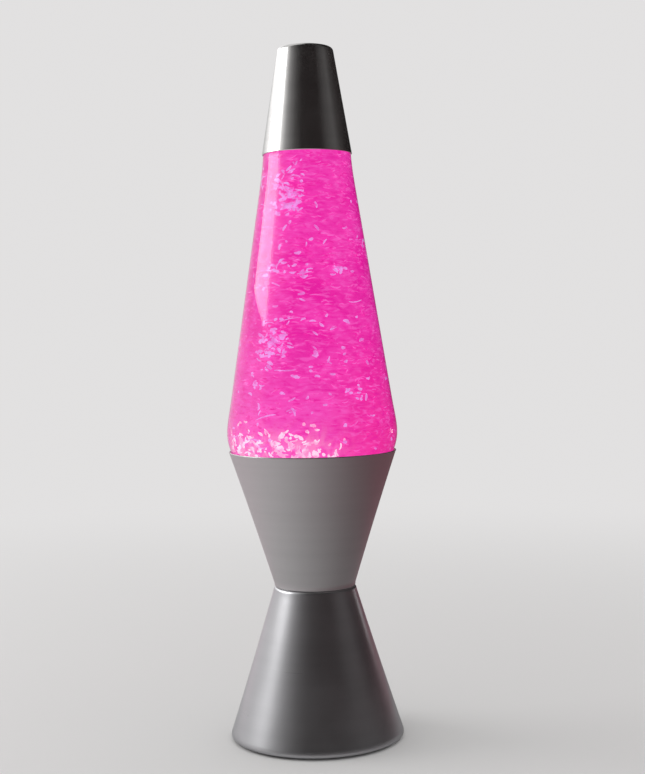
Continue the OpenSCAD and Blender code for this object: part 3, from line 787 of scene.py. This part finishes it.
def make_floor():
    """Paper that fades into the backdrop with distance.

    Metal mirrors a dimmer floor instead, with painted shade that darkens it on the right in place of the
    lamp's shadow and a painted pink glow from the globe farther out.
    """
    mesh = bpy.data.meshes.new("floor")
    corners = [(x * FLOOR_HALF, y * FLOOR_HALF, 0) for x, y in ((-1, -1), (1, -1), (1, 1), (-1, 1))]
    mesh.from_pydata(corners, [], [(0, 1, 2, 3)])
    n = Nodes("floor_paper")
    fibre = n.noise(n.place, 900.0, detail=2.0)
    n.set(Base_Color=PAPER, Roughness=0.9, Specular_IOR_Level=0.1)
    n.set(Normal=n.bump(fibre, 0.1, 0.05))
    far = n.add("ShaderNodeEmission")
    far.inputs["Color"].default_value = (*BACKDROP, 1.0)
    reach = n.add("ShaderNodeVectorMath", operation="LENGTH")
    n.link(n.place, reach.inputs[0])
    fade = n.add("ShaderNodeMixShader")
    n.link(n.ramp(reach.outputs["Value"], *FADE_REACH), fade.inputs["Fac"])
    n.link(n.shader.outputs[0], fade.inputs[1])
    n.link(far.outputs[0], fade.inputs[2])
    # Painted shade and pink glow on the floor that only metal mirrors
    mirrored = n.add("ShaderNodeBsdfDiffuse")
    right = n.ramp(n.axes()["X"], *TONES_X, smooth=False)
    farther = n.ramp(reach.outputs["Value"], *TONES_REACH)
    tone = n.blend(farther, n.blend(right, *NEAR_PAINTED_TONES), n.blend(right, *FAR_PAINTED_TONES))
    n.link(tone, mirrored.inputs["Color"])
    path = n.add("ShaderNodeLightPath")
    choose = n.add("ShaderNodeMixShader")
    n.link(path.outputs["Is Glossy Ray"], choose.inputs["Fac"])
    n.link(fade.outputs[0], choose.inputs[1])
    n.link(mirrored.outputs[0], choose.inputs[2])
    n.link(choose.outputs[0], n.out.inputs["Surface"])
    mesh.materials.append(n.material)
    floor = bpy.data.objects.new("floor", mesh)
    bpy.context.scene.collection.objects.link(floor)


# What the metal mirrors round the room: (turn in degrees from the camera towards the right, radiance)
ROOM = [
    (-180, 0.5), (-166, 1.8), (-140, 1.7), (-118, 1.35), (-84, 1.65), (-72, 0.76), (-60, 0.34), (-47, 0.18),
    (-33, 0.072), (-16, 0.014), (0, 0.008), (40, 0.008), (60, 0.055), (82, 0.085), (100, 0.035),
    (125, 0.012), (158, 0.014), (180, 0.5),
]
# How much redder than blue and green its light is
ROOM_WARMTH = 0.004
# Share of that radiance by the height of the mirrored direction, from level (0) to overhead (1)
ROOM_BY_HEIGHT = [(0.0, 0.34), (0.21, 0.34), (0.32, 1.0), (0.42, 0.9), (0.55, 0.45), (1.0, 0.45)]
FILL = 0.72
WHITE = (1.0, 1.0, 1.0)


def make_world():
    """Pale where it is seen, softer where it lights the lamp, and a dim studio where metal mirrors it."""
    world = bpy.data.worlds.new("studio")
    bpy.context.scene.world = world
    world.use_nodes = True
    tree = world.node_tree
    tree.nodes.clear()

    def add(kind, **settings):
        node = tree.nodes.new(kind)
        for key, value in settings.items():
            setattr(node, key, value)
        return node

    def glow(colour, strength):
        node = add("ShaderNodeBackground")
        node.inputs["Color"].default_value = (*colour, 1.0)
        node.inputs["Strength"].default_value = strength
        return node

    seen, fill, room = glow(BACKDROP, 1.0), glow(WHITE, FILL), glow(WHITE, 1.0)
    axes = add("ShaderNodeSeparateXYZ")
    tree.links.new(add("ShaderNodeTexCoord").outputs["Generated"], axes.inputs[0])
    to_camera = add("ShaderNodeMath", operation="MULTIPLY")
    to_camera.inputs[1].default_value = -1.0
    tree.links.new(axes.outputs["Y"], to_camera.inputs[0])
    turn = add("ShaderNodeMath", operation="ARCTAN2")
    tree.links.new(axes.outputs["X"], turn.inputs[0])
    tree.links.new(to_camera.outputs[0], turn.inputs[1])
    share = add("ShaderNodeMapRange")
    share.inputs["From Min"].default_value = -math.pi
    share.inputs["From Max"].default_value = math.pi
    tree.links.new(turn.outputs[0], share.inputs["Value"])

    def steps_of(stops, source, warmth=0.0):
        node = add("ShaderNodeValToRGB")
        elements = node.color_ramp.elements
        for i, (place, level) in enumerate(stops):
            stop = elements[i] if i < 2 else elements.new(place)
            stop.position = place
            stop.color = (level + warmth, level, level, 1.0)
        tree.links.new(source, node.inputs["Fac"])
        return node.outputs["Color"]

    by_turn = [((degrees + 180) / 360, level) for degrees, level in ROOM]
    walls = steps_of(by_turn, share.outputs[0], ROOM_WARMTH)
    tree.links.new(walls, room.inputs["Color"])
    tree.links.new(steps_of(ROOM_BY_HEIGHT, axes.outputs["Z"]), room.inputs["Strength"])
    path = add("ShaderNodeLightPath")
    lit = add("ShaderNodeMixShader")
    tree.links.new(path.outputs["Is Diffuse Ray"], lit.inputs["Fac"])
    tree.links.new(seen.outputs[0], lit.inputs[1])
    tree.links.new(fill.outputs[0], lit.inputs[2])
    mixer = add("ShaderNodeMixShader")
    tree.links.new(path.outputs["Is Glossy Ray"], mixer.inputs["Fac"])
    tree.links.new(lit.outputs[0], mixer.inputs[1])
    tree.links.new(room.outputs[0], mixer.inputs[2])
    out = add("ShaderNodeOutputWorld")
    tree.links.new(mixer.outputs[0], out.inputs["Surface"])


def make_light(name, turns, low_edges, top, strength):
    """Curved white light, 1 m from the lamp's axis, hidden from the camera and seen in reflections and by
    what it lights.

    Its sides are at two turns in degrees from the camera towards the right, and its lower edge slopes
    between two heights.
    """
    steps = 24
    vertices, faces = [], []
    for i in range(steps + 1):
        a = math.radians(mix(*turns, i / steps) - 90)
        vertices += [(math.cos(a), math.sin(a), mix(*low_edges, i / steps)), (math.cos(a), math.sin(a), top)]
    for i in range(steps):
        faces.append((2 * i, 2 * i + 1, 2 * i + 3, 2 * i + 2))
    mesh = bpy.data.meshes.new(name)
    mesh.from_pydata(vertices, [], faces)
    material = bpy.data.materials.new(name + "_glow")
    material.use_nodes = True
    tree = material.node_tree
    tree.nodes.clear()
    glow = tree.nodes.new("ShaderNodeEmission")
    glow.inputs["Strength"].default_value = strength
    out = tree.nodes.new("ShaderNodeOutputMaterial")
    tree.links.new(glow.outputs[0], out.inputs["Surface"])
    mesh.materials.append(material)
    light = bpy.data.objects.new(name, mesh)
    bpy.context.scene.collection.objects.link(light)
    light.visible_camera = False


def make_lights():
    """A large softbox on the left, and a small low pane behind on the right."""
    make_light("softbox", (-80, -119), (0.455, 0.42), 0.95, 3.6)
    make_light("pane", (131, 136), (0.09, 0.09), 0.13, 2.6)


# The sensor's width is taken along the picture's longer side, which is its height
SENSOR_MM = 36.0
LENS_MM = 63.1628
CAMERA_DISTANCE = 0.7266
CAMERA_HEIGHT = 0.2185
CAMERA_PITCH = math.radians(2.394)
CAMERA_YAW = math.radians(0.47)
CAMERA_ROLL = math.radians(1.07)


def make_camera():
    data = bpy.data.cameras.new("camera")
    data.sensor_width = SENSOR_MM
    data.lens = LENS_MM
    camera = bpy.data.objects.new("camera", data)
    bpy.context.scene.collection.objects.link(camera)
    turn = Matrix.Rotation(-CAMERA_YAW, 4, "Z") @ Matrix.Rotation(math.pi / 2 - CAMERA_PITCH, 4, "X")
    turn = turn @ Matrix.Rotation(-CAMERA_ROLL, 4, "Z")
    camera.matrix_world = Matrix.Translation((0.0, -CAMERA_DISTANCE, CAMERA_HEIGHT)) @ turn
    bpy.context.scene.camera = camera


bpy.context.scene.view_settings.view_transform = "Standard"
make_camera()
make_floor()
make_world()
make_lights()
dress_nodes()
make_cap()
make_cup()
make_skirt()
make_bottle()
make_liquid()
make_flakes()
make_bulb()
